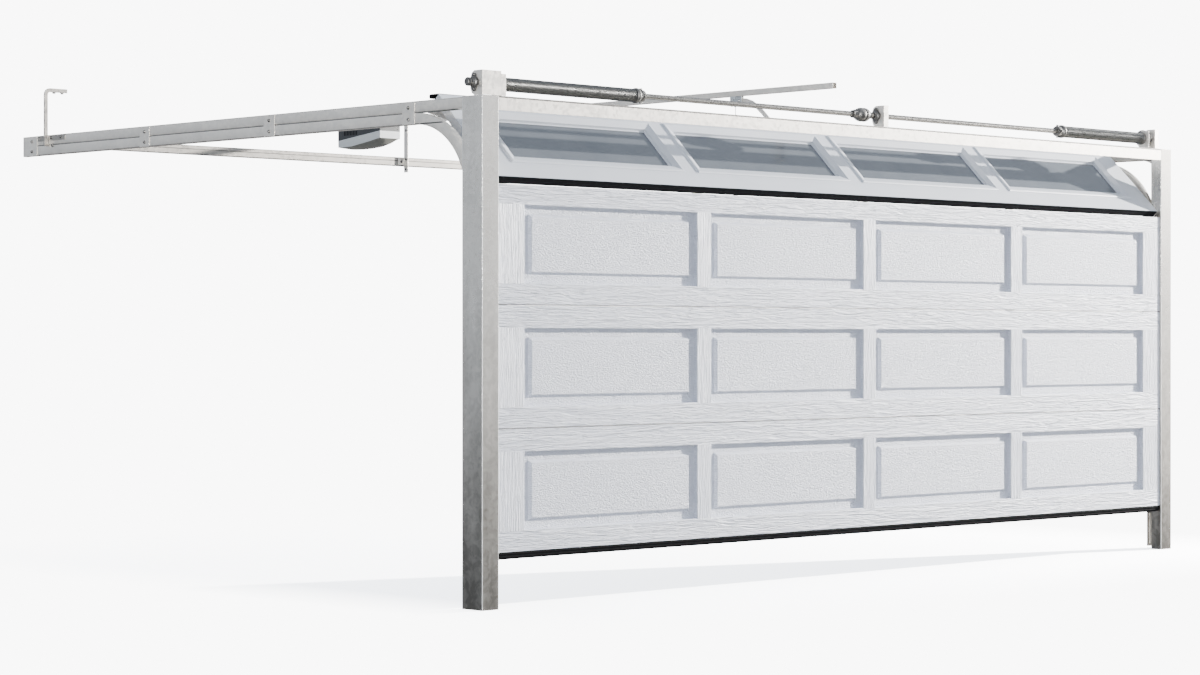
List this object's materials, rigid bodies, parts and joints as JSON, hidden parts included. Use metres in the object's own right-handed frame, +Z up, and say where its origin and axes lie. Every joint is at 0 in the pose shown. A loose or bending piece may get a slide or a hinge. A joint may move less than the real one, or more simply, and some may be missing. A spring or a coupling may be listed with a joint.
{
  "type": "sectional garage door with ceiling opener",
  "caption": "Sectional raised-panel garage door on a galvanised frame with double tracks, torsion shaft and springs, and a ceiling rail opener, standing slightly open.",
  "frame": {"origin": "middle of the doorway on the floor, in the plane of the posts' front faces", "axes": "+X to the right seen from outside, +Y into the garage, +Z up"},
  "size_m": [5.1433, 4.035, 2.44],
  "materials": {
    "galvanised": "galvanised, dull spangle",
    "white_paint": "satin white enamel over embossed wood grain",
    "cast_iron": "as cast, dark",
    "spring_steel": "oiled dark wire",
    "rubber": "matt black",
    "glass": "grey tinted, smooth",
    "nylon": "natural",
    "dark_plastic": "dark grey, fine texture",
    "grey_plastic": "light grey, satin",
    "red_plastic": "red"
  },
  "bodies": {
    "frame": {"left_post": "galvanised", "right_post": "galvanised", "header_beam": "galvanised", "left_end_bracket": "galvanised", "right_end_bracket": "galvanised", "centre_bracket": "galvanised", "left_bearing": "cast_iron", "right_bearing": "cast_iron", "centre_bearing": "cast_iron", "left_spring_anchor": "galvanised", "right_spring_anchor": "galvanised", "left_spring": "spring_steel", "right_spring": "spring_steel", "left_vertical_track": "galvanised", "right_vertical_track": "galvanised", "left_lower_track": "galvanised", "right_lower_track": "galvanised", "left_upper_track": "galvanised", "right_upper_track": "galvanised", "rear_crossbar": "galvanised", "left_hanger": "galvanised", "right_hanger": "galvanised", "opener_support": "galvanised", "opener_rail": "galvanised", "motor_chassis": "dark_plastic", "motor_cover": "grey_plastic"},
    "door": {"section_1": "white_paint", "section_2": "white_paint", "section_3": "white_paint", "bottom_seal": "rubber"},
    "top_leaf": {"top_section": "white_paint", "window_pane_1": "glass", "window_pane_2": "glass", "window_pane_3": "glass", "window_pane_4": "glass", "joint_seal": "rubber", "top_seal": "rubber", "arm_bracket": "galvanised"},
    "top_roller_pair": {"left_top_roller": "nylon", "right_top_roller": "nylon"},
    "shaft": {"left_shaft": "galvanised", "right_shaft": "galvanised", "shaft_coupling": "cast_iron", "left_winding_cone": "cast_iron", "right_winding_cone": "cast_iron", "left_drum": "cast_iron", "right_drum": "cast_iron"},
    "trolley_block": {"trolley": "grey_plastic"},
    "arm": {"door_arm": "galvanised"},
    "release": {"release_lever": "red_plastic", "release_cord": "red_plastic", "release_handle": "red_plastic"},
    "left_wheel_1": {"left_roller_1": "nylon"},
    "left_wheel_2": {"left_roller_2": "nylon"},
    "left_wheel_3": {"left_roller_3": "nylon"},
    "left_wheel_4": {"left_roller_4": "nylon"},
    "right_wheel_1": {"right_roller_1": "nylon"},
    "right_wheel_2": {"right_roller_2": "nylon"},
    "right_wheel_3": {"right_roller_3": "nylon"},
    "right_wheel_4": {"right_roller_4": "nylon"}
  },
  "joints": [
    {"name": "door_travel", "type": "slide", "parent": "frame", "child": "door", "axis": [0, 0, 1], "range_m": [-0.209, 0]},
    {"name": "top_section_tilt", "type": "hinge", "parent": "door", "child": "top_leaf", "pos_m": [0, 0.05, 1.8275], "axis": [1, 0, 0], "range_deg": [0, 45.05]},
    {"name": "top_roller_travel", "type": "slide", "parent": "frame", "child": "top_roller_pair", "axis": [0, 1, 0], "range_m": [-0.3744, 0]},
    {"name": "shaft_spin", "type": "hinge", "parent": "frame", "child": "shaft", "pos_m": [0, 0.049, 2.2555], "axis": [1, 0, 0], "range_deg": [-282, 0]},
    {"name": "trolley_travel", "type": "slide", "parent": "frame", "child": "trolley_block", "axis": [0, 1, 0], "range_m": [-0.2965, 0]},
    {"name": "door_arm_pivot", "type": "hinge", "parent": "trolley_block", "child": "arm", "pos_m": [0, 0.872, 2.375], "axis": [1, 0, 0], "range_deg": [0, 2.2]},
    {"name": "release_pull", "type": "slide", "parent": "trolley_block", "child": "release", "axis": [0, 0, -1], "range_m": [0, 0.02], "stiffness_N_per_m": 300, "springref_m": -0.008},
    {"name": "left_roller_1_spin", "type": "hinge", "parent": "door", "child": "left_wheel_1", "pos_m": [-2.513, 0.104, 0.2875], "axis": [1, 0, 0], "range_deg": [0, 557.2]},
    {"name": "left_roller_2_spin", "type": "hinge", "parent": "door", "child": "left_wheel_2", "pos_m": [-2.513, 0.104, 0.7248], "axis": [1, 0, 0], "range_deg": [0, 557.2]},
    {"name": "left_roller_3_spin", "type": "hinge", "parent": "door", "child": "left_wheel_3", "pos_m": [-2.513, 0.104, 1.2581], "axis": [1, 0, 0], "range_deg": [0, 557.2]},
    {"name": "left_roller_4_spin", "type": "hinge", "parent": "door", "child": "left_wheel_4", "pos_m": [-2.513, 0.104, 1.7795], "axis": [1, 0, 0], "range_deg": [0, 557.2]},
    {"name": "right_roller_1_spin", "type": "hinge", "parent": "door", "child": "right_wheel_1", "pos_m": [2.513, 0.104, 0.2875], "axis": [1, 0, 0], "range_deg": [0, 557.2]},
    {"name": "right_roller_2_spin", "type": "hinge", "parent": "door", "child": "right_wheel_2", "pos_m": [2.513, 0.104, 0.7248], "axis": [1, 0, 0], "range_deg": [0, 557.2]},
    {"name": "right_roller_3_spin", "type": "hinge", "parent": "door", "child": "right_wheel_3", "pos_m": [2.513, 0.104, 1.2581], "axis": [1, 0, 0], "range_deg": [0, 557.2]},
    {"name": "right_roller_4_spin", "type": "hinge", "parent": "door", "child": "right_wheel_4", "pos_m": [2.513, 0.104, 1.7795], "axis": [1, 0, 0], "range_deg": [0, 557.2]}
  ],
  "couplings": [
    {"joint": "top_section_tilt", "follows": "door_travel", "rad_per_m": -3.7578},
    {"joint": "top_roller_travel", "follows": "door_travel", "ratio": 1.7906},
    {"joint": "shaft_spin", "follows": "door_travel", "rad_per_m": 23.53},
    {"joint": "trolley_travel", "follows": "door_travel", "ratio": 1.4176},
    {"joint": "door_arm_pivot", "follows": "door_travel", "rad_per_m": -0.1787},
    {"joint": "left_roller_1_spin", "follows": "door_travel", "rad_per_m": -46.51},
    {"joint": "left_roller_2_spin", "follows": "door_travel", "rad_per_m": -46.51},
    {"joint": "left_roller_3_spin", "follows": "door_travel", "rad_per_m": -46.51},
    {"joint": "left_roller_4_spin", "follows": "door_travel", "rad_per_m": -46.51},
    {"joint": "right_roller_1_spin", "follows": "door_travel", "rad_per_m": -46.51},
    {"joint": "right_roller_2_spin", "follows": "door_travel", "rad_per_m": -46.51},
    {"joint": "right_roller_3_spin", "follows": "door_travel", "rad_per_m": -46.51},
    {"joint": "right_roller_4_spin", "follows": "door_travel", "rad_per_m": -46.51}
  ]
}
